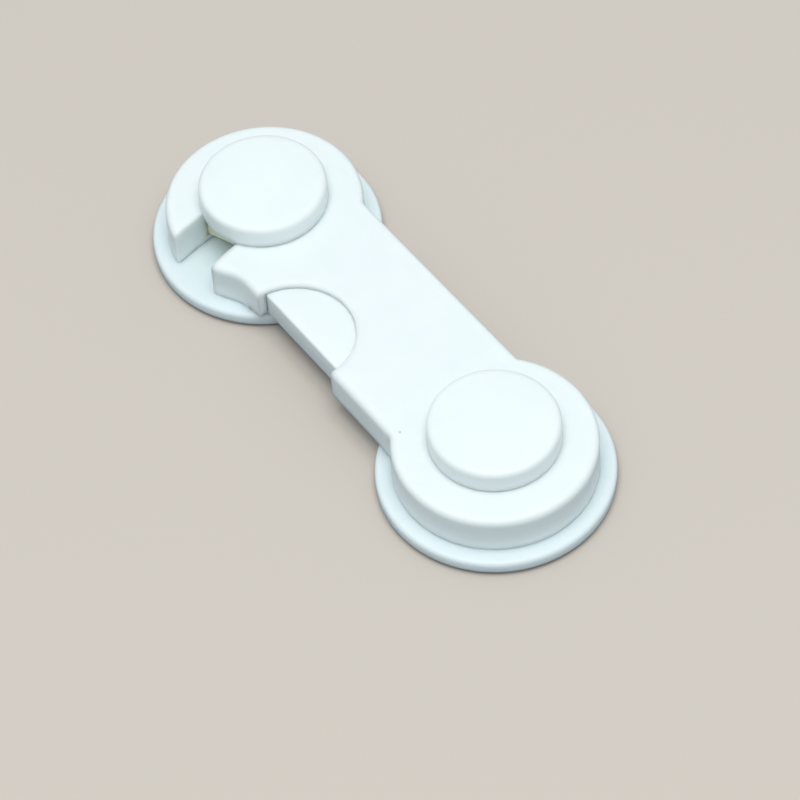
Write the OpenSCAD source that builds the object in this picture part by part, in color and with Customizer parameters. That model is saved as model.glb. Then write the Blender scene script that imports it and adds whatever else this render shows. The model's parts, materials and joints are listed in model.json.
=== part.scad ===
// Child safety lock for a cabinet. Two stick-on bases carry a post each, and a moulded arm
// joins them: it swings on the pivot post and its hook closes round the catch post.
// A thumb button in the arm draws back a sprung bolt that holds the catch post in the hook.
// Origin midway between the posts on the face that the pads stick to; X runs to the pivot,
// Y runs away from the button, Z runs up through the posts. Millimetres.

/* [Layout] */
// Distance between the pivot post and the catch post
post_spacing = 76; // [72:1:90]

/* [Bases] */
// Diameter of each base disc
base_d = 46.4; // [40:1:60]
// Thickness of each base disc
base_h = 2.5; // [2.2:0.1:4]
// Rounding of the base disc's upper rim
base_round = 0.9; // [0.3:0.1:1.5]
// Diameter of the foam pad under each base
pad_d = 41; // [30:1:46]
// Thickness of the foam pad
pad_h = 1; // [0.5:0.1:2]
// Diameter of the post between base and cap
neck_d = 10; // [9:0.2:10.4]

/* [Caps] */
// Diameter of each cap
cap_d = 25.6; // [22:0.2:32]
// Height of the cap's side wall
cap_h = 4.9; // [3.5:0.1:6]
// Rise of the cap's crown above its side wall
cap_crown = 0.4; // [0.2:0.05:1]
// Rounding of the cap's upper rim
cap_round = 1; // [0.2:0.05:1.2]
// Wall of the cap's cored underside
cap_wall = 1.5; // [1:0.1:2]
// Radial ribs inside each cap
cap_ribs = 6; // [3:1:10]

/* [Arm] */
// Diameter of the round ends of the arm
ring_d = 39.8; // [36:0.5:44]
// Height of the arm from the foot of its round ends to its top
arm_h = 8.4; // [8:0.1:11]
// Width of the strap between the round ends
strap_w = 30.4; // [30:0.2:33]
// Height of the strap's underside above the foot of the round ends
strap_lift = 1.2; // [0.9:0.1:1.4]
// Rounding of the arm's upper edge
arm_round = 1.3; // [0.4:0.1:1.6]
// Inside corner between strap and pivot end on the button's side
near_blend = 2.5; // [1:0.1:4]
// Inside corner between strap and hook on the button's side
jaw_blend = 8; // [1:0.1:9]
// Inside corner between strap and round end on the far side
far_blend = 1.4; // [0.8:0.1:4]
// Thickness of the arm's top skin
skin = 1.3; // [1:0.1:1.6]
// Thickness of the arm's outer walls and slot walls
wall = 1.7; // [1.2:0.1:2]
// Thickness of the ribs inside the arm
rib_t = 1.5; // [1:0.1:1.6]
// Ribs under the pivot end
pivot_ribs = 8; // [4:1:12]

/* [Hook] */
// Width of the hook's slot
slot_w = 10.6; // [10.6:0.1:11.4]
// Rounding of the hook's tip
tip_round = 0.5; // [0.5:0.1:2]

/* [Button] */
// Radius of the half-moon window over the thumb button
window_r = 12.2; // [11:0.1:13]
// Rounding of the window's upper edge
window_round = 0.5; // [0.2:0.1:0.9]
// Distance from the catch post to the middle of the window
window_from_catch = 31.6; // [31:0.1:34]
// Travel of the button
button_travel = 4; // [3.5:0.1:4.2]
// Distance that the button runs on behind each end of the window
button_lap = 2; // [1:0.1:2.2]
// Thickness of the button's plate
button_plate = 1.3; // [1:0.1:1.6]
// Thickness of the button's front wall
button_wall = 1.5; // [1:0.1:2]
// Rounding of the button's upper front edge
button_round = 0.4; // [0.2:0.1:0.8]

/* [Bolt] */
// Travel of the bolt when the button is pressed
bolt_travel = 6.2; // [5.8:0.1:6.4]
// Reach of the bolt's tip past the middle of the slot
bolt_reach = 1.1; // [0:0.1:1.6]
// Rise of the bolt's slanted face for each millimetre along it
bolt_slope = 0.4; // [0.2:0.05:0.5]
// Thickness of the bolt at its tip
bolt_tip = 3.1; // [2:0.1:3.6]
// Thickness of the slide that carries the bolt
slide_h = 2.6; // [2:0.1:2.8]
// Width of the slide's rail behind the catch post
rail_w = 2.75; // [2:0.05:3]
// Outer diameter of the return spring
spring_d = 4; // [3.4:0.1:4.2]
// Diameter of the spring's wire
spring_wire = 0.5; // [0.3:0.05:0.6]
// Turns of the spring
spring_turns = 8; // [5:1:10]

/* [Cover] */
// Thickness of the cover under the arm
cover_t = 1.2; // [1:0.1:1.4]

/* [Fasteners] */
// Shank diameter of the screw in each post
post_screw_d = 3; // [2.5:0.1:3.4]
// Head diameter of the screw in each post
post_screw_head_d = 6; // [5:0.1:7]
// Head height of the screw in each post
post_screw_head_h = 1.6; // [1.2:0.1:1.8]
// Length of the shank of the screw in each post
post_screw_len = 9.2; // [7:0.1:9.4]
// Shank diameter of the cover screws
cover_screw_d = 1.8; // [1.6:0.1:2]
// Head diameter of the cover screws
cover_screw_head_d = 3.2; // [2.8:0.1:3.4]
// Head height of the cover screws
cover_screw_head_h = 0.9; // [0.6:0.1:1]
// Length of the shank of the cover screws
cover_screw_len = 4.3; // [3:0.1:4.4]

/* [Clearances] */
// Gap between parts that move past each other
run_gap = 0.3; // [0.2:0.05:0.4]
// Radial gap between the pivot post and its bore
pivot_gap = 0.08; // [0.04:0.01:0.1]
// Gap between parts that are fitted together
fit_gap = 0.15; // [0.1:0.05:0.2]
// Radial gap round a shank or a stem
shank_gap = 0.05; // [0.02:0.01:0.1]

/* [Hidden] */
$fn = 96;

// One overrun serves every cut.
over = 1;

// Places of the two posts
pivot_x = post_spacing / 2;
catch_x = -post_spacing / 2;

// Heights, from the pads up
base_top = pad_h + base_h;
arm_z = base_top + run_gap;
arm_top = arm_z + arm_h;
ceiling = arm_top - skin;
strap_z = arm_z + strap_lift;
collar_rise = 0.9;
collar_top = arm_top + collar_rise;
post_top = collar_top + run_gap;
skirt_z = arm_top + run_gap;
cap_top = skirt_z + cap_h;

// Inside of each post: the screw's head, a web under the stem, and the stem's bore
head_gap = 0.3;
post_web = 1.6;
stem_d = 6.4;
web_z = pad_h + post_screw_head_h + head_gap;
stem_z = web_z + post_web + fit_gap;
screw_hole_end = web_z + post_screw_len + head_gap;
cross_w = 0.9;
cross_len_share = 0.6;
cross_depth_share = 0.6;

// Cap's cored underside, with room for the collar inside its skirt
collar_d = cap_d - 2 * (cap_wall + run_gap);
cap_hub_wall = 3.2;
cap_hub_d = stem_d + 2 * cap_hub_wall;
cap_skin = 1.4;

// Arm's inside
ring_r = ring_d / 2;
ring_in_r = ring_r - wall;
strap_in = strap_w / 2 - wall;
blend_sink = 0.03;
tip_sink = blend_sink / 5;
pivot_boss_d = 17;
pivot_rib_t = 1.2;
slot_r = slot_w / 2;
seat_wall_r = slot_r + wall;

// Button's bay, with a rib at each end
window_x = catch_x + window_from_catch;
window_y = -strap_w / 2;
button_half = window_r + button_lap;
bay_x0 = window_x - button_half - run_gap;
bay_x1 = window_x + button_half + run_gap;
bulkhead_x = bay_x0 - rib_t;
bay_rib_x = bay_x1 + rib_t;

// Strap's hollow, from the catch end's hollow to the pivot end's
corner_room = 3;
hollow_x0 = bulkhead_x - corner_room;
pivot_hollow_x = pivot_x - ring_in_r + wall;
hollow_x1 = pivot_hollow_x - rib_t;
cover_top = strap_z + cover_t;
ring_cover_top = arm_z + cover_t;

// Button: plate under the skin, a front wall as low as the strap, and bars that run on the cover
button_top = ceiling - run_gap / 3;
button_under = button_top - button_plate;
button_y0 = -strap_in + run_gap * 2 / 3;
bar_z = cover_top + run_gap;
cover_notch_y = button_y0 + button_wall + button_travel + run_gap;

// Slide: heights, and the rail that passes behind the catch post
slide_top = button_under - run_gap;
slide_z = slide_top - slide_h;
bolt_z = ring_cover_top + run_gap;
rail_y0 = seat_wall_r + run_gap + shank_gap;
rail_y1 = rail_y0 + rail_w;
sweep_r = ring_in_r - run_gap;
cross_x = catch_x - seat_wall_r - run_gap - shank_gap;

// Bolt: straight back beside the post, slanted front that the post pushes on
bolt_back = -neck_d / 2 - run_gap * 2;
bolt_front = bolt_back - bolt_tip;
bolt_tip_x = catch_x + bolt_reach;
bolt_root_x = cross_x - wall;

// Slide's tail: a frame round the spring and a slanted lug that the button pushes
frame_t = 1.1;
tail_end_t = 3;
tail_wall_gap = 1.3;
spring_room = 0.25;
spring_z = (cover_top + ceiling) / 2 + shank_gap * 2;
pocket_half = spring_d / 2 + spring_room;
spring_y = strap_in - tail_wall_gap - frame_t - pocket_half;
tail_y0 = spring_y - pocket_half - frame_t;
tail_y1 = spring_y + pocket_half + frame_t;
spring_rib_t = 1.4;
spring_rib_gap = 2.1;
spring_rib_x = bay_x0 + spring_rib_gap;
spring_x0 = spring_rib_x + spring_rib_t;
pocket_x0 = spring_rib_x - run_gap;
tail_x0 = pocket_x0 - wall;
tail_from_window = 4.4;
tail_x1 = window_x + tail_from_window;
pocket_x1 = tail_x1 - tail_end_t;
lug_share = 1.6;
lug_t = 2.6;
lug_x = tail_x1 - lug_share * bolt_travel;
lug_y = tail_y0 - lug_share * button_travel;
wedge_gap = 0.2;
wedge_t = 2.6;
strut_join = 0.5;
button_back = lug_y + rib_t;
peg_d = spring_d - 2 * spring_wire - 2 * run_gap - 2 * shank_gap;
peg_len = 1.5;

// Spring: the length that its helix takes between rib and slide, rings a turn, sides a ring
spring_gap = shank_gap * 2;
spring_len = pocket_x1 - spring_x0 - 2 * spring_gap - spring_wire;
spring_rings = 8;
spring_sides = 6;

// Cover screws: places on the cover, and the height of the cover's face at each
boss_d = 4.4;
screw_in_x = 5.4;
screw_in_y = 4.4;
hook_boss_turn = 70;
hook_boss_inset = 3.4;
jaw_boss_turn = -39;
jaw_boss_inset = 5;
function ring_site(turn, inset) = [catch_x + (ring_in_r - inset) * cos(turn),
                                   (ring_in_r - inset) * sin(turn), arm_z];
cover_sites = [
    ring_site(hook_boss_turn, hook_boss_inset),
    ring_site(jaw_boss_turn, jaw_boss_inset),
    [hollow_x1 - screw_in_x, strap_in - screw_in_y, strap_z],
    [hollow_x1 - screw_in_x, -strap_in + screw_in_y, strap_z]
];
function head_room(zb) = zb + cover_screw_head_h + fit_gap;
function site_top(zb) = head_room(zb) + cover_t;

function unit(v) = v / norm(v);

// Where two circles cross, on the side that turn picks: 1 or -1
function cross_point(a, ra, b, rb, turn) =
    let (d = norm(b - a), u = (b - a) / d,
         s = (d * d + ra * ra - rb * rb) / (2 * d),
         h = sqrt(ra * ra - s * s))
    a + s * u + turn * h * [-u[1], u[0]];

module rounded_disc(r, z0, z1, f) {
    rotate_extrude()
        difference() {
            translate([0, z0]) square([r, z1 - z0]);
            translate([r - f, z1 - f])
                difference() {
                    square(f + over);
                    circle(f);
                }
        }
}

// A round cut whose upper rim spreads by f, which rounds the edge it leaves
module flared_cut(r, z0, z1, f) {
    translate([0, 0, z0]) cylinder(r = r, h = z1 - f - z0 + over / 100);
    rotate_extrude()
        difference() {
            translate([0, z1 - f]) square([r + f, f + over]);
            translate([r + f, z1 - f]) circle(f);
        }
}

// Slot along the swing of the arm, grown by the amount given
module hook_slot(z0, z1, grow) {
    translate([catch_x, 0, z0]) cylinder(r = slot_r + grow, h = z1 - z0);
    intersection() {
        translate([catch_x - ring_r, -ring_r - over, z0])
            cube([2 * ring_r, ring_r + over, z1 - z0]);
        translate([pivot_x, 0, z0])
            difference() {
                cylinder(r = post_spacing + slot_r + grow, h = z1 - z0, $fn = 360);
                translate([0, 0, -over])
                    cylinder(r = post_spacing - slot_r - grow, h = z1 - z0 + 2 * over, $fn = 360);
            }
    }
}

// Parts of a base: disc and hollow post in one moulding
module base_at(x) {
    translate([x, 0, 0])
        difference() {
            union() {
                rounded_disc(base_d / 2, pad_h, base_top, base_round);
                translate([0, 0, pad_h]) cylinder(d = neck_d, h = post_top - pad_h);
            }
            translate([0, 0, pad_h - over])
                cylinder(d = post_screw_head_d + 2 * head_gap, h = web_z - pad_h + over);
            cylinder(d = post_screw_d + 2 * shank_gap, h = post_top);
            translate([0, 0, web_z + post_web])
                cylinder(d = stem_d + 2 * shank_gap, h = post_top - web_z);
        }
}

module pad_at(x) {
    translate([x, 0, 0]) cylinder(d = pad_d, h = pad_h);
}

// Cap: crowned top, a skirt that reaches down round the collar, a ribbed core, and a stem that
// fills the post
module cap_at(x) {
    flat_r = cap_d / 2 - cap_round;
    crown_r = (pow(flat_r, 2) + pow(cap_crown, 2)) / (2 * cap_crown);
    translate([x, 0, 0])
        difference() {
            union() {
                difference() {
                    union() {
                        rounded_disc(cap_d / 2, skirt_z, cap_top, cap_round);
                        rotate_extrude()
                            intersection() {
                                translate([0, cap_top + cap_crown - crown_r])
                                    circle(crown_r, $fn = 720);
                                translate([0, cap_top - cap_round]) square([flat_r, 2 * crown_r]);
                            }
                    }
                    translate([0, 0, skirt_z - over])
                        cylinder(d = cap_d - 2 * cap_wall, h = cap_top - cap_skin - skirt_z + over);
                }
                translate([0, 0, post_top]) cylinder(d = cap_hub_d, h = cap_top - cap_skin / 2 - post_top);
                translate([0, 0, stem_z]) cylinder(d = stem_d, h = cap_top - cap_skin / 2 - stem_z);
                for (i = [0 : cap_ribs - 1])
                    rotate(i * 360 / cap_ribs)
                        translate([0, -pivot_rib_t / 2, post_top + fit_gap])
                            cube([(cap_d - cap_wall) / 2, pivot_rib_t,
                                  cap_top - cap_skin / 2 - post_top - fit_gap]);
            }
            translate([0, 0, stem_z - over])
                cylinder(d = post_screw_d + 2 * shank_gap, h = screw_hole_end - stem_z + over);
        }
}

// A pan head screw that points up, with its head's bearing face at z
module screw_up(d, len, head_d, head_h) {
    cylinder(d = d, h = len);
    difference() {
        translate([0, 0, -head_h]) cylinder(d = head_d, h = head_h);
        for (turn = [0, 90])
            rotate(turn)
                translate([0, 0, -head_h])
                    cube([head_d * cross_len_share, cross_w * d / post_screw_d,
                          2 * head_h * cross_depth_share], center = true);
    }
}

// Fills the inside corner between strap and round end from z0 up with a blend of radius r,
// which sinks into both by blend_sink, so that it crosses them and doesn't only touch
module corner_blend(x, toward, side, r, z0) {
    out_y = strap_w / 2 + r - blend_sink;
    reach = ring_r + r - blend_sink;
    run = sqrt(pow(reach, 2) - pow(out_y, 2));
    centre = [x + toward * run, side * out_y];
    from_ring = (centre - [x, 0]) / reach;
    difference() {
        translate([0, 0, z0])
            linear_extrude(arm_top - z0)
                polygon([[x, 0] + from_ring * ring_r, [centre[0], side * strap_w / 2],
                         [centre[0], side * strap_in], [x, 0] + from_ring * ring_in_r]);
        translate([centre[0], centre[1], 0])
            flared_cut(r, z0 - over, arm_top, arm_round);
    }
}

// Rounds the tip of the hook in plan, where the slot's outer wall meets the round end. The
// rounding crosses both by tip_sink, and doesn't only touch them
module tip_cut() {
    outer = post_spacing + slot_r;
    hook = [catch_x, 0];
    pivot = [pivot_x, 0];
    inset = tip_round - tip_sink;
    centre = cross_point(hook, ring_r - inset, pivot, outer + inset, -1);
    corner = cross_point(hook, ring_r, pivot, outer, -1);
    on_ring = hook + (centre - hook) * ring_r / (ring_r - inset);
    on_slot = pivot + (centre - pivot) * outer / (outer + inset);
    out = over * unit(corner - centre);
    translate([0, 0, arm_z - over])
        linear_extrude(arm_h + 2 * over)
            difference() {
                polygon([centre, on_ring, on_ring + out, corner + out, on_slot + out, on_slot]);
                translate(centre) circle(tip_round);
            }
}

// Outside form of the arm, solid
module arm_form() {
    for (x = [pivot_x, catch_x])
        translate([x, 0, 0]) rounded_disc(ring_r, arm_z, arm_top, arm_round);
    translate([catch_x, 0, 0])
        rotate([90, 0, 90])
            linear_extrude(post_spacing)
                difference() {
                    translate([-strap_w / 2, strap_z]) square([strap_w, arm_top - strap_z]);
                    for (side = [-1, 1])
                        translate([side * (strap_w / 2 - arm_round), arm_top - arm_round])
                            difference() {
                                translate([side < 0 ? -arm_round - over : 0, 0])
                                    square(arm_round + over);
                                circle(arm_round);
                            }
                }
    corner_blend(catch_x, 1, -1, jaw_blend, arm_z);
    corner_blend(pivot_x, -1, -1, near_blend, strap_z);
    corner_blend(catch_x, 1, 1, far_blend, strap_z);
    corner_blend(pivot_x, -1, 1, far_blend, strap_z);
    translate([pivot_x, 0, arm_z]) cylinder(d = collar_d, h = collar_top - arm_z);
}

// Hollows of the arm, open underneath
module arm_hollows() {
    depth = ceiling - arm_z + over;
    // Catch end
    intersection() {
        translate([catch_x, 0, arm_z - over]) cylinder(r = ring_in_r, h = depth);
        translate([catch_x - ring_d, -ring_d, 0])
            cube([bulkhead_x - catch_x + ring_d, 2 * ring_d, cap_top]);
    }
    translate([hollow_x0, -strap_in, arm_z - over])
        cube([bulkhead_x - hollow_x0, 2 * strap_in, depth]);
    // Button's bay, open to the catch end on the slide's side
    translate([bay_x0, -strap_in, arm_z - over])
        cube([bay_x1 - bay_x0, 2 * strap_in, depth]);
    translate([hollow_x0, tail_y0 - run_gap, arm_z - over])
        cube([bay_x1 - hollow_x0, strap_in - tail_y0 + run_gap, depth]);
    // Between the bay and the pivot end
    translate([bay_rib_x, -strap_in, arm_z - over])
        cube([hollow_x1 - bay_rib_x, 2 * strap_in, depth]);
    // Seat of the cover's strap part
    translate([hollow_x0, -strap_in, arm_z - over])
        cube([hollow_x1 - hollow_x0, 2 * strap_in, cover_top - arm_z + over]);
    // Pivot end, with its radial ribs left standing
    difference() {
        intersection() {
            translate([pivot_x, 0, arm_z - over]) cylinder(r = ring_in_r, h = depth);
            translate([pivot_hollow_x, -ring_d, 0]) cube([ring_d, 2 * ring_d, cap_top]);
        }
        translate([pivot_x, 0, 0]) cylinder(d = pivot_boss_d, h = cap_top);
        for (i = [0 : pivot_ribs - 1])
            translate([pivot_x, 0, 0])
                rotate((i + 1 / 2) * 360 / pivot_ribs)
                    translate([0, -pivot_rib_t / 2, 0]) cube([ring_r, pivot_rib_t, cap_top]);
    }
}

// Half-moon window in the skin, which cuts on down through the side wall
module window_cut() {
    behind_wall = -strap_in + fit_gap - window_y;
    translate([window_x, window_y, 0])
        difference() {
            flared_cut(window_r, arm_z - over, arm_top, window_round);
            translate([-ring_d, behind_wall, arm_z - 2 * over])
                cube([2 * ring_d, ring_d, ceiling - arm_z + over]);
        }
}

// What stands inside the arm: bosses for the cover screws, guides and the spring's seat
module arm_inside() {
    for (site = cover_sites)
        translate([site[0], site[1], site_top(site[2])])
            cylinder(d = boss_d, h = ceiling - site_top(site[2]) + skin / 2);
    translate([spring_rib_x, spring_y - pocket_half + run_gap, slide_z])
        cube([spring_rib_t, 2 * (pocket_half - run_gap), ceiling - slide_z + skin / 2]);
    translate([spring_x0 - over / 10, spring_y, spring_z])
        rotate([0, 90, 0]) cylinder(d = peg_d, h = peg_len + over / 10);
    translate([catch_x - seat_wall_r, rail_y1 + run_gap, slide_z])
        cube([2 * seat_wall_r, pivot_rib_t, ceiling - slide_z + skin / 2]);
}

module arm_shell() {
    color("white")
        difference() {
            union() {
                difference() {
                    arm_form();
                    difference() {
                        arm_hollows();
                        hook_slot(0, cap_top, wall);
                    }
                }
                arm_inside();
            }
            hook_slot(-over, cap_top, 0);
            tip_cut();
            translate([pivot_x, 0, 0])
                cylinder(d = neck_d + 2 * pivot_gap, h = cap_top);
            window_cut();
            // Slit that the bolt passes through, no wider than its slanted face needs
            slit_x = catch_x - seat_wall_r - over;
            translate([0, 0, bolt_z - run_gap])
                linear_extrude(slide_top - bolt_z + 2 * run_gap)
                    polygon([[slit_x, bolt_back + run_gap], [slit_x, ramp_y(slit_x) - run_gap],
                             [catch_x, ramp_y(catch_x) - run_gap], [catch_x, bolt_back + run_gap]]);
            for (site = cover_sites)
                translate([site[0], site[1], 0])
                    cylinder(d = cover_screw_d + 2 * shank_gap,
                             h = head_room(site[2]) + cover_screw_len + fit_gap);
        }
}

// Cover: follows the inside of the arm, thicker where a screw passes, and cut back for the
// button's front wall
module arm_cover() {
    ring_zone = [hollow_x0 + fit_gap, strap_in - fit_gap];
    color("white")
        difference() {
            union() {
                intersection() {
                    translate([catch_x, 0, arm_z]) cylinder(r = ring_in_r - fit_gap, h = cover_t);
                    translate([catch_x - ring_d, -ring_d, 0])
                        cube([bay_x0 - catch_x + ring_d, 2 * ring_d, cap_top]);
                }
                intersection() {
                    translate([catch_x, 0, arm_z]) cylinder(r = ring_r, h = strap_lift);
                    translate([ring_zone[0], -ring_zone[1], 0])
                        cube([ring_d, 2 * ring_zone[1], cap_top]);
                }
                translate([ring_zone[0], -ring_zone[1], strap_z])
                    cube([hollow_x1 - fit_gap - ring_zone[0], 2 * ring_zone[1], cover_t]);
                for (site = cover_sites)
                    translate([site[0], site[1], site[2]])
                        cylinder(d = boss_d, h = site_top(site[2]) - site[2]);
            }
            hook_slot(0, cap_top, wall + fit_gap);
            translate([bay_x0, -ring_d, arm_z - over])
                cube([bay_x1 - bay_x0, cover_notch_y + ring_d, cap_top]);
            for (site = cover_sites)
                translate([site[0], site[1], 0]) {
                    cylinder(d = cover_screw_d + 2 * shank_gap, h = cap_top);
                    cylinder(d = cover_screw_head_d + 2 * fit_gap, h = head_room(site[2]));
                }
        }
}

module cover_screws() {
    color("silver")
        for (site = cover_sites)
            translate([site[0], site[1], head_room(site[2])])
                screw_up(cover_screw_d, cover_screw_len, cover_screw_head_d, cover_screw_head_h);
}

// Thumb button: plate and front wall, and the slanted bar that drives the slide
module release_button() {
    x0 = window_x - button_half;
    bar_h = button_under - bar_z + button_plate / 2;
    lug_strut_x = lug_x + wedge_gap + wedge_t - rib_t;
    tail_strut_x = tail_x1 + wedge_gap + wedge_t - rib_t;
    color("white") {
        translate([x0, button_y0, 0])
            rotate([90, 0, 90])
                linear_extrude(2 * button_half)
                    union() {
                        translate([button_round, button_under])
                            square([button_back - button_y0 - button_round, button_plate]);
                        translate([0, strap_z])
                            square([button_wall, button_top - button_round - strap_z]);
                        translate([button_round, button_top - button_round]) circle(button_round);
                    }
        for (end = [x0, x0 + 2 * button_half - rib_t])
            translate([end, button_y0 + button_wall / 2, bar_z])
                cube([rib_t, lug_y - button_travel - run_gap - button_y0 - button_wall / 2, bar_h]);
        translate([wedge_gap, 0, bar_z])
            linear_extrude(bar_h)
                polygon([[lug_x, lug_y], [tail_x1, tail_y0], [tail_x1 + wedge_t, tail_y0],
                         [lug_x + wedge_t, lug_y]]);
        for (strut = [[lug_strut_x, lug_y + strut_join], [tail_strut_x, tail_y0]])
            translate([strut[0], button_y0 + button_wall / 2, bar_z])
                cube([rib_t, strut[1] - button_y0 - button_wall / 2, bar_h]);
    }
}

// Front of the bolt: its face is slanted so that the post pushes the bolt aside
function ramp_y(x) = bolt_front - bolt_slope * (bolt_tip_x - x);

// Bolt slide: bolt, crosspiece outside the seat, rail behind it, and the tail frame
module latch_slide() {
    h = slide_top - slide_z;
    color("gainsboro")
        difference() {
            union() {
                intersection() {
                    union() {
                        translate([0, 0, bolt_z])
                            linear_extrude(slide_top - bolt_z)
                                polygon([[bolt_tip_x, bolt_back], [bolt_tip_x, ramp_y(bolt_tip_x)],
                                         [bolt_root_x, ramp_y(bolt_root_x)],
                                         [bolt_root_x, bolt_back]]);
                        translate([cross_x - ring_r, ramp_y(bolt_root_x), bolt_z])
                            cube([ring_r, rail_y1 - ramp_y(bolt_root_x), slide_top - bolt_z]);
                        translate([cross_x - ring_r, rail_y0, slide_z])
                            cube([catch_x - cross_x + ring_r, rail_w, h]);
                    }
                    translate([catch_x + bolt_travel, 0, 0]) cylinder(r = sweep_r, h = cap_top);
                }
                translate([cross_x, rail_y0, slide_z]) cube([tail_x0 - cross_x + frame_t, rail_w, h]);
                translate([tail_x0, tail_y0, slide_z])
                    cube([tail_x1 - tail_x0, tail_y1 - tail_y0, h]);
                translate([0, 0, slide_z])
                    linear_extrude(h)
                        polygon([[lug_x, lug_y], [tail_x1, tail_y0], [tail_x1, tail_y0 + frame_t],
                                 [lug_x - lug_t, tail_y0 + frame_t], [lug_x - lug_t, lug_y]]);
            }
            translate([pocket_x0, spring_y - pocket_half, 0])
                cube([pocket_x1 - pocket_x0, 2 * pocket_half, cap_top]);
        }
    color("gainsboro")
        translate([pocket_x1 - peg_len, spring_y, spring_z])
            rotate([0, 90, 0]) cylinder(d = peg_d, h = peg_len + frame_t);
}

// Return spring: one unbroken tube along a helix
function coil_point(t) =
    let (a = 360 * t)
    [spring_x0 + spring_gap + spring_wire / 2 + spring_len * t / spring_turns,
     spring_y + (spring_d - spring_wire) / 2 * cos(a),
     spring_z + (spring_d - spring_wire) / 2 * sin(a)];
coil_steps = spring_rings * spring_turns;
coil = [for (i = [0 : coil_steps]) coil_point(i / spring_rings)];
function coil_dir(i) = unit(coil[min(i + 1, coil_steps)] - coil[max(i - 1, 0)]);
function coil_ring(i) =
    let (d = coil_dir(i), out = unit([0, coil[i][1] - spring_y, coil[i][2] - spring_z]),
         side = unit(cross(d, out)), up = cross(side, d))
    [for (k = [0 : spring_sides - 1])
        coil[i] + spring_wire / 2 * (cos(k * 360 / spring_sides) * up
                                     + sin(k * 360 / spring_sides) * side)];
coil_gap = min([for (i = [0 : coil_steps]) for (j = [i + spring_rings / 2 : 1 : coil_steps])
                norm(coil[i] - coil[j])]) - spring_wire;
echo(least_gap_between_turns = coil_gap);

module latch_spring() {
    points = [for (i = [0 : coil_steps]) each coil_ring(i)];
    walls = [for (i = [0 : coil_steps - 1]) for (k = [0 : spring_sides - 1])
             let (a = i * spring_sides + k, b = i * spring_sides + (k + 1) % spring_sides,
                  c = a + spring_sides, d = b + spring_sides)
             each [[a, c, b], [b, c, d]]];
    start = [for (k = [0 : spring_sides - 1]) k];
    end = [for (k = [spring_sides - 1 : -1 : 0]) coil_steps * spring_sides + k];
    color("silver") polyhedron(points, concat(walls, [start, end]), convexity = 10);
}

module pivot_base() { color("white") base_at(pivot_x); }
module pivot_pad() { color("whitesmoke") pad_at(pivot_x); }
module pivot_cap() { color("white") cap_at(pivot_x); }
module catch_base() { color("white") base_at(catch_x); }
module catch_pad() { color("whitesmoke") pad_at(catch_x); }
module catch_cap() { color("white") cap_at(catch_x); }

module post_screw_at(x) {
    color("silver")
        translate([x, 0, web_z])
            screw_up(post_screw_d, post_screw_len, post_screw_head_d, post_screw_head_h);
}
module pivot_screw() { post_screw_at(pivot_x); }
module catch_screw() { post_screw_at(catch_x); }

pivot_base();
pivot_pad();
pivot_cap();
pivot_screw();
catch_base();
catch_pad();
catch_cap();
catch_screw();
arm_shell();
arm_cover();
cover_screws();
release_button();
latch_slide();
latch_spring();
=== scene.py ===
# Stick-on cabinet lock: two round bases, and a swinging arm whose hook and sprung bolt hold a post.
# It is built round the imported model, in metres, in the order in which the lock is put together.

import json
import math

import bmesh
import bpy
from mathutils import Matrix, Vector


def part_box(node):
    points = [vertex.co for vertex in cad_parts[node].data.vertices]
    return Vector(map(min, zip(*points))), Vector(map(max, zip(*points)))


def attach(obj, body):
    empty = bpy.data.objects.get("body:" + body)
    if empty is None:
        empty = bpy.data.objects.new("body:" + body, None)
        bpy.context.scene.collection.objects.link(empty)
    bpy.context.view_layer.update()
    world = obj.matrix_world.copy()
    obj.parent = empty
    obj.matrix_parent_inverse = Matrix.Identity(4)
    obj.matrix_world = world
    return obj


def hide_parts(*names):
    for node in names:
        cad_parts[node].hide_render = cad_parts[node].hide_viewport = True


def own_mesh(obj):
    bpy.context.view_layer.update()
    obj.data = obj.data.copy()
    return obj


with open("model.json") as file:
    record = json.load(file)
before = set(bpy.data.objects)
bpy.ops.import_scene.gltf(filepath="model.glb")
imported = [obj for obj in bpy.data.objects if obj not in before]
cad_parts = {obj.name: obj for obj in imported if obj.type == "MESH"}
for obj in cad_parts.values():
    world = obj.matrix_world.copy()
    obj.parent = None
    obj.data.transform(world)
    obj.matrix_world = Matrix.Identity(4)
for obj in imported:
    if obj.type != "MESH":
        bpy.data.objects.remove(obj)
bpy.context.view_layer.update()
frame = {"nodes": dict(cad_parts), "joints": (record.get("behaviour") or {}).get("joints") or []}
cad = frame["nodes"]
mm = 0.001


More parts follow.
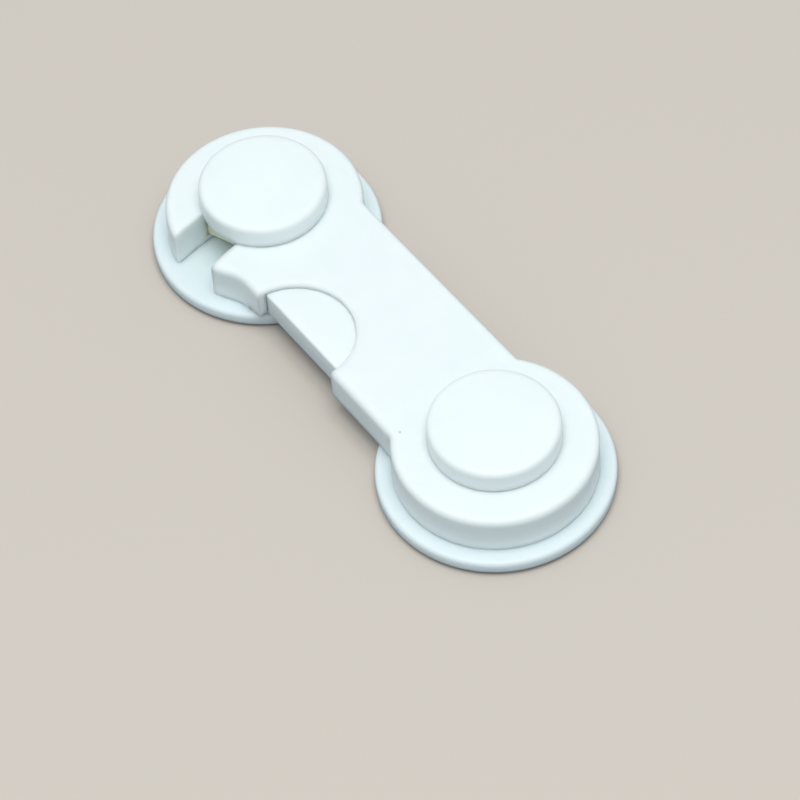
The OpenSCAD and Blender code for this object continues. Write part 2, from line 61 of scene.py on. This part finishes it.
# Bases
# Each base is one moulding in white ABS: a round disc that the pad sticks under, and the hollow
# post that stands on it. The mould's faces are spark-eroded, which leaves a fine satin grain.
class Wire:
    """A node socket of a material, so that sums of sockets and numbers read as maths."""

    def __init__(self, tree, socket=None):
        self.tree = tree
        self.socket = socket

    def node(self, kind, settings=None, values=None, out=0):
        """Adds a shader node: its settings are set first, then the values or links of its sockets."""
        made = self.tree.nodes.new("ShaderNode" + kind)
        for name, value in (settings or {}).items():
            setattr(made, name, value)
        for name, value in (values or {}).items():
            if isinstance(value, Wire):
                self.tree.links.new(value.socket, made.inputs[name])
            else:
                made.inputs[name].default_value = value
        return Wire(self.tree, made.outputs[out])

    def maths(self, operation, *terms):
        return self.node("Math", {"operation": operation}, dict(enumerate(terms)))

    def mix(self, first, second):
        """Blends two colours, with this socket as the share of the second."""
        factor_in, first_in, second_in, colour_out = 0, 6, 7, 2
        values = {factor_in: self, first_in: first, second_in: second}
        for key in (first_in, second_in):
            if not isinstance(values[key], Wire):
                values[key] = (*values[key], 1)
        return self.node("Mix", {"data_type": "RGBA"}, values, colour_out)

    def step(self, low, high):
        """Rises smoothly from 0 at low to 1 at high."""
        values = {"Value": self, "From Min": low, "From Max": high}
        return self.node("MapRange", {"interpolation_type": "SMOOTHSTEP"}, values)

    def __add__(self, other):
        return self.maths("ADD", self, other)

    def __radd__(self, other):
        return self.maths("ADD", other, self)

    def __sub__(self, other):
        return self.maths("SUBTRACT", self, other)

    def __rsub__(self, other):
        return self.maths("SUBTRACT", other, self)

    def __mul__(self, other):
        return self.maths("MULTIPLY", self, other)

    def __rmul__(self, other):
        return self.maths("MULTIPLY", other, self)


def new_finish(name):
    """An empty material: its shader, and a Wire that adds nodes to it."""
    material = bpy.data.materials.new(name)
    material.use_nodes = True
    shader = material.node_tree.nodes["Principled BSDF"]
    return material, shader, Wire(material.node_tree)


def feed(shader, name, wire):
    """Links a Wire to one of a shader's inputs."""
    wire.tree.links.new(wire.socket, shader.inputs[name])


def noise(add, place, size, detail=2):
    """Cloudy noise whose patches are about size across, in metres."""
    return add.node("TexNoise", None, {"Vector": place, "Scale": 1 / size, "Detail": detail}, "Fac")


def bump(add, height, depth, strength, over=None):
    """The surface normal with a relief as deep as depth, in metres, over another relief if given."""
    values = {"Strength": strength, "Distance": depth, "Height": height}
    if over:
        values["Normal"] = over
    return add.node("Bump", None, values)


grain_size = 0.16 * mm
grain_depth = 0.012 * mm
grain_gloss = 0.05
cooling_size = 7 * mm
cooling_depth = 0.03 * mm
cooling_share = 0.6
flow_size = 26 * mm
flow_gloss = 0.07
cloud_range = (0.3, 0.75)
worn_range = (0.02, 0.35)
worn_gloss = 0.1
gate_middle = 0.16 * mm
gate_rim = 0.42 * mm
gate_ragged = 0.1 * mm
gate_depth = 0.08 * mm
gate_grey = (0.30, 0.31, 0.29)
gate_stain = 0.55
gate_dull = 0.2
plastic_ior = 1.53
light_inside = 0.7
light_reach = (1.0, 1.0, 0.9)


def moulded_plastic(name, colour, shade, roughness, edge, spread=1.6 * mm, grain=1, gate=None):
    """Satin moulded plastic: eroded grain, slow unevenness from cooling, edges polished by handling,
    and a dull dimple where the gate was broken off, if the place of one is given. Light spreads
    inside it, because the plastic is a little translucent."""
    material, shader, add = new_finish(name)
    place = add.node("TexCoord", out="Object")
    cooling = noise(add, place, cooling_size)
    flow = noise(add, place, flow_size, detail=4)
    fine = noise(add, place, grain_size, detail=3)
    rounded = add.node("Bevel", {"samples": 6}, {"Radius": edge}, "Normal")
    flat = add.node("NewGeometry", out="Normal")
    facing = add.node("VectorMath", {"operation": "DOT_PRODUCT"}, {0: rounded, 1: flat}, "Value")
    worn = (1 - facing).step(*worn_range)
    cloud = (cooling_share * cooling + (1 - cooling_share) * flow).step(*cloud_range)
    tint = cloud.mix(shade, colour)
    gloss = roughness + flow_gloss * (flow - 0.5) + grain_gloss * (fine - 0.5) - worn_gloss * worn
    skin = bump(add, fine, grain_depth * grain, strength=0.35, over=rounded)
    relief = bump(add, cooling, cooling_depth, strength=0.5, over=skin)
    if gate:
        away = add.node("VectorMath", {"operation": "DISTANCE"}, {0: place, 1: gate}, "Value")
        mark = 1 - (away + gate_ragged * fine).step(gate_middle, gate_rim)
        tint = (gate_stain * mark).mix(tint, gate_grey)
        gloss = gloss + gate_dull * mark
        relief = bump(add, 1 - mark, gate_depth, strength=0.6, over=relief)
    feed(shader, "Base Color", tint)
    feed(shader, "Roughness", gloss)
    feed(shader, "Normal", relief)
    shader.inputs["IOR"].default_value = plastic_ior
    shader.inputs["Subsurface Weight"].default_value = light_inside
    shader.inputs["Subsurface Radius"].default_value = light_reach
    shader.inputs["Subsurface Scale"].default_value = spread
    return material


def dress(node, material):
    """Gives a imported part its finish."""
    cad[node].data.materials.clear()
    cad[node].data.materials.append(material)


base_plastic = moulded_plastic("base_plastic", colour=(0.775, 0.89, 0.912), shade=(0.752, 0.87, 0.894),
                               roughness=0.47, edge=0.6 * mm, spread=3 * mm)
for base in ("pivot_base", "catch_base"):
    dress(base, base_plastic)


# Foam pads
# A die-cut disc of white polyethylene foam with adhesive on both faces sticks each base to the
# furniture. The cut edge shows the foam's cells, and bulges a little where the base is pressed on.
cell_size = 0.35 * mm
cell_depth = 0.06 * mm
cell_range = (0.25, 0.75)
patch_size = 3 * mm
patch_share = 0.3
patch_dull = 0.1
pad_bulge = 0.25 * mm
bulge_power = 0.6
pad_sides = 160
pad_rows = 9
# Rings on the pad's flat faces, as shares of its radius
pad_ring_shares = (0.35, 0.7, 0.9, 0.97)
smooth_below = math.radians(35)


def finished(name, form, centre=(0, 0, 0)):
    """Makes an object of a bmesh, smooth where its faces meet at a small angle."""
    mesh = bpy.data.meshes.new(name)
    form.to_mesh(mesh)
    form.free()
    mesh.transform(Matrix.Translation(centre))
    mesh.polygons.foreach_set("use_smooth", [True] * len(mesh.polygons))
    mesh.set_sharp_from_angle(angle=smooth_below)
    piece = bpy.data.objects.new(name, mesh)
    bpy.context.scene.collection.objects.link(piece)
    return piece


def bridge(form, low, high):
    """Joins two rings of vertices with faces. A ring of one vertex is a point."""
    count = max(len(low), len(high))
    for k in range(count):
        after = (k + 1) % count
        corners = [low[k % len(low)], low[after % len(low)], high[after % len(high)], high[k % len(high)]]
        form.faces.new(list(dict.fromkeys(corners)))


def lathe(form, profile, sides):
    """Turns a profile round Z. Its points are (radius, height), from the bottom up the outside."""
    turns = [2 * math.pi * k / sides for k in range(sides)]
    below = None
    for radius, height in profile:
        around = turns if radius else turns[:1]
        ring = [form.verts.new((radius * math.cos(t), radius * math.sin(t), height)) for t in around]
        if below:
            bridge(form, below, ring)
        below = ring


def foam(name, colour, shade, roughness):
    """Foam: rounded cells, with painted shade in the grooves between them, and slow unevenness."""
    material, shader, add = new_finish(name)
    place = add.node("TexCoord", out="Object")
    cells = add.node("TexVoronoi", {"feature": "F1"}, {"Vector": place, "Scale": 1 / cell_size}, "Distance")
    patch = noise(add, place, patch_size)
    # Painted shade: the colour darkens in the grooves between the raised cells.
    painted_groove_shade = cells.step(*cell_range)
    feed(shader, "Base Color", ((1 - patch_share) * painted_groove_shade + patch_share * patch).mix(colour, shade))
    feed(shader, "Roughness", roughness + patch_dull * patch)
    feed(shader, "Normal", bump(add, 1 - cells, cell_depth, strength=0.8))
    return material


pad_foam = foam("foam_pad", colour=(0.80, 0.81, 0.79), shade=(0.62, 0.63, 0.61), roughness=0.82)
for node in ("pivot_pad", "catch_pad"):
    low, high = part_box(node)
    radius = (high.x - low.x) / 2
    height = high.z - low.z
    rim = []
    for k in range(pad_rows):
        lift = k / (pad_rows - 1)
        rim.append((radius - pad_bulge + pad_bulge * math.sin(math.pi * lift) ** bulge_power, height * lift))
    inner = [radius * share for share in pad_ring_shares]
    profile = [(0, 0), *((r, 0) for r in inner), *rim, *((r, height) for r in reversed(inner)), (0, height)]
    form = bmesh.new()
    lathe(form, profile, pad_sides)
    bmesh.ops.recalc_face_normals(form, faces=form.faces)
    pad = finished(node + "_foam", form, ((low.x + high.x) / 2, (low.y + high.y) / 2, low.z))
    pad.data.materials.append(pad_foam)
    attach(pad, "bases")
    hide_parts(node)


# Arm
# One ABS moulding, hollow underneath: a ring that turns on the pivot post, a strap, and the hook
# that closes round the catch post. The half-moon window over the button is part of the moulding.
collar_rise = 0.9 * mm
gate_x = 25.8 * mm
gate_y = -13.3 * mm
gate_place = (gate_x, gate_y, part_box("arm_shell")[1].z - collar_rise)
arm_plastic = moulded_plastic("arm_plastic", colour=(0.84, 0.92, 0.923), shade=(0.82, 0.903, 0.91),
                              roughness=0.45, edge=1.8 * mm, gate=gate_place)
dress("arm_shell", arm_plastic)


# Thumb button
# A separate ABS moulding that slides in the arm's bay: a plate under the window, a front wall for
# the thumb, and a slanted bar underneath that drives the bolt. Its edges are rounded for the thumb.
weld_gap = 0.002 * mm
flat_below = math.radians(0.5)
sharp_above = math.radians(38)
rounding_steps = 3
button_edge = 0.3 * mm


def eased(name, node, width):
    """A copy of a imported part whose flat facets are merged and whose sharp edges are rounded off."""
    form = bmesh.new()
    form.from_mesh(cad[node].data)
    bmesh.ops.remove_doubles(form, verts=form.verts, dist=weld_gap)
    bmesh.ops.dissolve_limit(form, angle_limit=flat_below, verts=form.verts, edges=form.edges)
    sharp = [edge for edge in form.edges if edge.calc_face_angle(0) > sharp_above]
    bmesh.ops.bevel(form, geom=sharp, affect="EDGES", offset=width, offset_type="OFFSET", profile=0.5,
                    segments=rounding_steps, clamp_overlap=True, loop_slide=True, miter_outer="SHARP")
    bmesh.ops.remove_doubles(form, verts=form.verts, dist=weld_gap)
    return finished(name, form)


button = eased("thumb_button", "release_button", button_edge)
button.data.materials.append(moulded_plastic("button_plastic", colour=(0.84, 0.92, 0.92),
                                             shade=(0.82, 0.903, 0.906), roughness=0.45, edge=0.6 * mm))
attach(button, "button")
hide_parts("release_button")


# Bolt slide
# Moulded in unpigmented acetal, which is slippery and slightly yellow beside the white ABS; its colour is
# made more yellow than that to paint the warm shaded light in the hook's mouth. Its bolt shows there, in
# front of the post.
slide_edge = 0.2 * mm
slide = eased("bolt_slide", "latch_slide", slide_edge)
# Painted light: the slide's yellow is partly the acetal's own tint and partly painted warm light from the
# shaded slot.
slide.data.materials.append(moulded_plastic("slide_plastic", colour=(0.83, 0.82, 0.60),
                                            shade=(0.79, 0.785, 0.56), roughness=0.42, edge=0.3 * mm))
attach(slide, "latch")
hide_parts("latch_slide")


# Return spring
# Nine turns of half-millimetre spring steel wire with closed ends, between a peg on the arm's rib
# and a peg on the slide. In the lock it shortens as the slide comes back; here it is made at one length.
wire_d = 0.5 * mm
coil_turns = 9
closed_turns = 1
rings_a_turn = 36
wire_sides = 14
stain_size = 1.6 * mm
stain_range = (0.35, 0.7)
stain_dull = 0.12
scratch_size = 0.08 * mm
scratch_depth = 0.01 * mm
scratch_gloss = 0.1


def drawn_steel(name, colour, shade, roughness):
    """Drawn or plated steel: cloudy tarnish and fine scratches."""
    material, shader, add = new_finish(name)
    place = add.node("TexCoord", out="Object")
    stain = noise(add, place, stain_size, detail=4).step(*stain_range)
    fine = noise(add, place, scratch_size)
    feed(shader, "Base Color", stain.mix(colour, shade))
    feed(shader, "Roughness", roughness + stain_dull * stain + scratch_gloss * (fine - 0.5))
    feed(shader, "Normal", bump(add, fine, scratch_depth, strength=0.3))
    shader.inputs["Metallic"].default_value = 1
    return material


low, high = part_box("latch_spring")
coil_r = (high.y - low.y - wire_d) / 2
coil_y = (low.y + high.y) / 2
coil_z = (low.z + high.z) / 2
coil_start = low.x + wire_d / 2
spring_room = high.x - low.x
open_rise = (spring_room - wire_d - 2 * closed_turns * wire_d) / (coil_turns - 2 * closed_turns)


def coil_x(turn):
    """Distance along the spring at a turn: close wound at both ends, open between them."""
    closed_in = min(turn, closed_turns)
    closed_out = max(0, turn - coil_turns + closed_turns)
    return closed_in * wire_d + closed_out * wire_d + (turn - closed_in - closed_out) * open_rise


def swept(name, points, radius, sides):
    """A round tube along points, closed at both ends."""
    form = bmesh.new()
    rings = []
    for k, point in enumerate(points):
        ahead = points[min(k + 1, len(points) - 1)]
        behind = points[max(k - 1, 0)]
        along = (ahead - behind).normalized()
        across = along.orthogonal() if k == 0 else (across - along * across.dot(along))
        across.normalize()
        up = along.cross(across)
        ring = []
        for side in range(sides):
            turn = 2 * math.pi * side / sides
            ring.append(form.verts.new(point + radius * (math.cos(turn) * across + math.sin(turn) * up)))
        rings.append(ring)
    for first, second in zip(rings, rings[1:]):
        bridge(form, first, second)
    form.faces.new(list(reversed(rings[0])))
    form.faces.new(rings[-1])
    bmesh.ops.recalc_face_normals(form, faces=form.faces)
    return finished(name, form)


coil = []
for k in range(coil_turns * rings_a_turn + 1):
    turn = k / rings_a_turn
    angle = 2 * math.pi * turn
    coil.append(Vector((coil_start + coil_x(turn), coil_y + coil_r * math.cos(angle),
                        coil_z + coil_r * math.sin(angle))))
spring = swept("return_spring", coil, wire_d / 2, wire_sides)
spring.data.materials.append(drawn_steel("spring_steel", colour=(0.50, 0.50, 0.51), shade=(0.36, 0.35, 0.34),
                                         roughness=0.24))
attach(spring, "arm")
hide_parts("latch_spring")
retract = next(j for j in frame["joints"] if j["name"] == "latch_retract")
(spring_room - retract["range_m"][1]) / spring_room
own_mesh(spring)


# Cover
# A flat ABS plate, moulded with a coarser grain, closes the arm from below and carries the button
# and the slide. Four small screws hold it to the bosses in the arm.
cover_edge = 0.2 * mm
cover = eased("cover_plate", "arm_cover", cover_edge)
cover.data.materials.append(moulded_plastic("cover_plastic", colour=(0.80, 0.87, 0.88),
                                            shade=(0.775, 0.85, 0.865), roughness=0.5, edge=0.3 * mm,
                                            grain=2))
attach(cover, "arm")
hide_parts("arm_cover")


# Caps
# Each post ends in a round cap, moulded in the same ABS as the arm. The cap plugs the post from
# above, keeps the arm on it, and is held there by a screw from below.
cap_plastic = moulded_plastic("cap_plastic", colour=(0.84, 0.92, 0.923), shade=(0.82, 0.903, 0.91),
                              roughness=0.45, edge=2 * mm)
for cap in ("pivot_cap", "catch_cap"):
    dress(cap, cap_plastic)


# Screws
# Zinc-plated self-tapping screws with pan heads and cross recesses, rolled from wire: one goes up
# each post into its cap, and four small ones hold the cover to the arm.
screw_steel = drawn_steel("screw_steel", colour=(0.62, 0.62, 0.60), shade=(0.48, 0.47, 0.44), roughness=0.3)
post_head_h = 1.6 * mm
post_crest_r = 1.49 * mm
post_pitch = 1.1 * mm
cover_head_h = 0.9 * mm
cover_crest_r = 0.89 * mm
cover_pitch = 0.8 * mm
screw_sides = 40
thread_steps = 10
seam_gap = 0.001 * mm
screw_smooth_below = math.radians(30)
# The first screw of a set stops at the first angle, and each after it an angle step further, in degrees
first_angle = 20
angle_step = 37
# The thread's depth and the tip's radius are shares of the crest's and the core's radius
thread_depth_share = 0.26
tip_radius_share = 0.45
# The tip's length and half the thread's foot are measured in pitches
tip_pitches = 1.6
foot_pitches = 0.3
# The recess's reach, width and depth are shares of the head's radius, diameter and height
recess_reach_share = 0.6
recess_width_share = 0.15
recess_depth_share = 0.6
# The head's outline, as shares of its radius and height, from the middle of the driven face
head_shares = ((0, 0), (0.45, 0.02), (0.72, 0.08), (0.88, 0.2), (0.97, 0.4), (1, 0.62), (1, 0.9), (0.96, 1))
# The recess, as shares of its depth and of its width, from outside the head to its bottom
recess_shares = ((-0.3, 1.08), (0, 1), (0.75, 0.74), (1, 0.3))


def cross_outline(reach, width):
    """The twelve corners of a cross, in order."""
    corners = []
    for quarter in range(4):
        turn = Matrix.Rotation(math.pi / 2 * quarter, 2)
        for corner in ((reach, -width / 2), (reach, width / 2), (width / 2, width / 2)):
            corners.append(turn @ Vector(corner))
    return corners


def recess_tool(radius, height):
    """The punch that makes the cross recess in a head whose driven face is at zero."""
    form = bmesh.new()
    rings = []
    for down, share in recess_shares:
        outline = cross_outline(radius * recess_reach_share * share, 2 * radius * recess_width_share * share)
        z = height * recess_depth_share * down
        rings.append([form.verts.new((corner.x, corner.y, z)) for corner in outline])
    for low, high in zip(rings, rings[1:]):
        bridge(form, low, high)
    form.faces.new(rings[0])
    form.faces.new(rings[-1])
    bmesh.ops.recalc_face_normals(form, faces=form.faces)
    return finished("recess_tool", form)


def screw_form(head_r, head_h, crest_r, length, pitch):
    """A screw that points up from its driven face at zero. Its thread follows one helix, runs out
    under the head and tapers off at the tip."""
    form = bmesh.new()
    core_r = crest_r * (1 - thread_depth_share)
    tip_r = core_r * tip_radius_share
    tip_len = pitch * tip_pitches
    end = head_h + length
    lathe(form, [*((head_r * r, head_h * z) for r, z in head_shares), (core_r, head_h)], screw_sides)
    lathe(form, [(tip_r, end), (0, end)], screw_sides)

    def thread_point(row, column):
        climbed = pitch * ((row - thread_steps) / thread_steps + column / screw_sides)
        z = min(max(head_h + climbed, head_h), end)
        phase = row % thread_steps / thread_steps
        rise = max(0, 1 - abs(phase - 0.5) / foot_pitches)
        run_out = min(1, (z - head_h) / pitch)
        taper = min(1, (end - z) / tip_len)
        base = tip_r + (core_r - tip_r) * math.sin(math.pi / 2 * taper)
        radius = base + (crest_r - core_r) * rise * run_out * taper
        turn = 2 * math.pi * column / screw_sides
        return form.verts.new((radius * math.cos(turn), radius * math.sin(turn), z))

    rows = thread_steps * (math.ceil(length / pitch) + 2)
    grid = [[thread_point(row, column) for column in range(screw_sides + 1)] for row in range(rows)]
    for low, high in zip(grid, grid[1:]):
        for k in range(screw_sides):
            form.faces.new([low[k], low[k + 1], high[k + 1], high[k]])
    bmesh.ops.remove_doubles(form, verts=form.verts, dist=seam_gap)
    bmesh.ops.recalc_face_normals(form, faces=form.faces)
    return form


def screw_piece(name, head_r, head_h, crest_r, length, pitch):
    """A threaded screw with its cross recess cut."""
    whole = finished(name, screw_form(head_r, head_h, crest_r, length, pitch))
    tool = recess_tool(head_r, head_h)
    cut = whole.modifiers.new("recess", "BOOLEAN")
    cut.object = tool
    cut.operation = "DIFFERENCE"
    cut.solver = "EXACT"
    mesh = bpy.data.meshes.new_from_object(whole.evaluated_get(bpy.context.evaluated_depsgraph_get()))
    whole.modifiers.clear()
    whole.data = mesh
    bpy.data.objects.remove(tool)
    mesh.set_sharp_from_angle(angle=screw_smooth_below)
    return whole


def solids(node):
    """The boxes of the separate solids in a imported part."""
    form = bmesh.new()
    form.from_mesh(cad[node].data)
    bmesh.ops.remove_doubles(form, verts=form.verts, dist=seam_gap)
    left = set(form.verts)
    boxes = []
    while left:
        reached = [left.pop()]
        places = []
        while reached:
            vertex = reached.pop()
            places.append(vertex.co.copy())
            for line in vertex.link_edges:
                other = line.other_vert(vertex)
                if other in left:
                    left.remove(other)
                    reached.append(other)
        boxes.append([Vector([pick(p[i] for p in places) for i in range(3)]) for pick in (min, max)])
    form.free()
    return sorted(boxes, key=lambda box: tuple(box[0]))


for node, body, head_h, crest_r, pitch in (
    ("pivot_screw", "bases", post_head_h, post_crest_r, post_pitch),
    ("catch_screw", "bases", post_head_h, post_crest_r, post_pitch),
    ("cover_screws", "arm", cover_head_h, cover_crest_r, cover_pitch),
):
    for k, (low, high) in enumerate(solids(node)):
        head_r = (high.x - low.x) / 2
        length = high.z - low.z - head_h
        screw = screw_piece(f"{node}_threaded_{k + 1}", head_r, head_h, crest_r, length, pitch)
        place = Matrix.Translation(((low.x + high.x) / 2, (low.y + high.y) / 2, low.z))
        stopped = Matrix.Rotation(math.radians(first_angle + angle_step * k), 4, "Z")
        screw.data.transform(place @ stopped)
        screw.data.materials.append(screw_steel)
        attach(screw, body)
        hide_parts(node)


# Floor and light
# A plain pale floor, a soft light overhead, and an even pale sky. The floor throws back a cooler and
# darker light than it shows, so that the walls of the white plastic stay apart from its tops.
floor_seen = (0.60, 0.545, 0.49)
floor_thrown = (0.25, 0.27, 0.28)
floor_roughness = 0.85
floor_reach = 4.0
floor_sides = 96
floor_material, floor_shader, add = new_finish("floor_paint")
camera_ray = add.node("LightPath", out="Is Camera Ray")
feed(floor_shader, "Base Color", camera_ray.mix(floor_thrown, floor_seen))
floor_shader.inputs["Roughness"].default_value = floor_roughness
form = bmesh.new()
bmesh.ops.create_circle(form, cap_ends=True, segments=floor_sides, radius=floor_reach)
floor = finished("floor", form)
floor.data.materials.append(floor_material)


def towards(azimuth, elevation):
    """The direction from the lock to a place seen at those angles; azimuth 0 is on the button's side."""
    a = math.radians(azimuth)
    e = math.radians(elevation)
    return Vector((math.sin(a) * math.cos(e), -math.cos(a) * math.cos(e), math.sin(e)))


key_azimuth = 57
key_elevation = 79
key_distance = 1.1
key_from = towards(key_azimuth, key_elevation)
key_light = bpy.data.lights.new("key_light", "AREA")
key_light.shape = "DISK"
key_light.size = 0.85
key_light.energy = 7.4
key_light.color = (1.0, 0.995, 0.98)
key_lamp = bpy.data.objects.new("key_light", key_light)
key_lamp.location = key_from * key_distance
key_lamp.rotation_mode = "QUATERNION"
key_lamp.rotation_quaternion = (-key_from).to_track_quat("-Z", "Y")
bpy.context.scene.collection.objects.link(key_lamp)

world = bpy.data.worlds.new("sky")
world.use_nodes = True
bpy.context.scene.world = world
sky = world.node_tree.nodes["Background"]
sky.inputs["Color"].default_value = (0.91, 0.97, 1.0, 1)
sky.inputs["Strength"].default_value = 0.6


# Camera
# The photograph's viewing angle, fitted to the outlines of the two round bases, through a long lens
# at about 0.7 m. The angles are in degrees.
camera_azimuth = 57.06
camera_elevation = 52.51
camera_roll = -4.33
camera_distance = 0.702167
camera_target = Vector((0.011808, -0.003647, 0))
camera_data = bpy.data.cameras.new("camera")
camera_data.sensor_width = 36
camera_data.lens = 162
camera = bpy.data.objects.new("camera", camera_data)
back = towards(camera_azimuth, camera_elevation)
across = Vector((0, 0, 1)).cross(back).normalized()
upward = back.cross(across)
level = Matrix((across, upward, back)).transposed().to_4x4()
rolled = Matrix.Rotation(math.radians(camera_roll), 4, "Z")
camera.matrix_world = Matrix.Translation(camera_target + back * camera_distance) @ level @ rolled
bpy.context.scene.collection.objects.link(camera)
bpy.context.scene.camera = camera
bpy.context.scene.view_settings.view_transform = "Standard"
